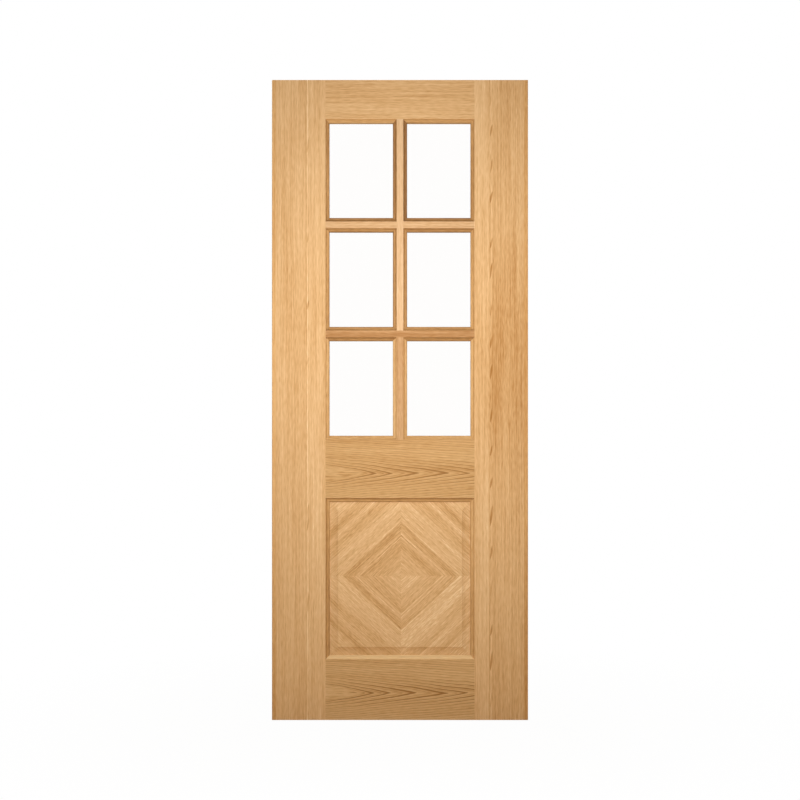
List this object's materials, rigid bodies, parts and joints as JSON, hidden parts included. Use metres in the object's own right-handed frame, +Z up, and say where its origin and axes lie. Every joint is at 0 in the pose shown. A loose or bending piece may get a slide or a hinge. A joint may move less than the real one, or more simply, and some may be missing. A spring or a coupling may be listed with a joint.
{
  "type": "glazed door leaf",
  "caption": "Upright oak-veneered door leaf: a grid of clear glazed lights held by mitred beads over a raised diamond-veneered panel, hung by its left edge.",
  "frame": {"origin": "foot of the left long edge, in the middle of the thickness", "axes": "+X across the leaf from the left edge to the right edge, front facing -Y, +Z up the leaf"},
  "size_m": [0.813, 0.035, 2.032],
  "materials": {
    "oak_veneer": "satin lacquered oak veneer",
    "solid_oak": "satin lacquered solid oak",
    "diamond_veneer": "satin lacquered oak veneer, diamond matched",
    "clear_glass": "clear toughened float glass"
  },
  "bodies": {
    "root": {"back_beads_bottom_left": "solid_oak", "back_beads_bottom_right": "solid_oak", "back_beads_middle_left": "solid_oak", "back_beads_middle_right": "solid_oak", "back_beads_top_left": "solid_oak", "back_beads_top_right": "solid_oak", "back_panel_moulding": "solid_oak", "bottom_rail": "oak_veneer", "front_beads_bottom_left": "solid_oak", "front_beads_bottom_right": "solid_oak", "front_beads_middle_left": "solid_oak", "front_beads_middle_right": "solid_oak", "front_beads_top_left": "solid_oak", "front_beads_top_right": "solid_oak", "front_panel_moulding": "solid_oak", "glass_bottom_left": "clear_glass", "glass_bottom_right": "clear_glass", "glass_middle_left": "clear_glass", "glass_middle_right": "clear_glass", "glass_top_left": "clear_glass", "glass_top_right": "clear_glass", "left_lipping": "solid_oak", "left_stile": "oak_veneer", "lock_rail": "oak_veneer", "lower_bar": "solid_oak", "lower_muntin": "solid_oak", "raised_panel": "diamond_veneer", "right_lipping": "solid_oak", "right_stile": "oak_veneer", "top_rail": "oak_veneer", "upper_left_bar": "solid_oak", "upper_muntin": "solid_oak", "upper_right_bar": "solid_oak"}
  },
  "joints": []
}
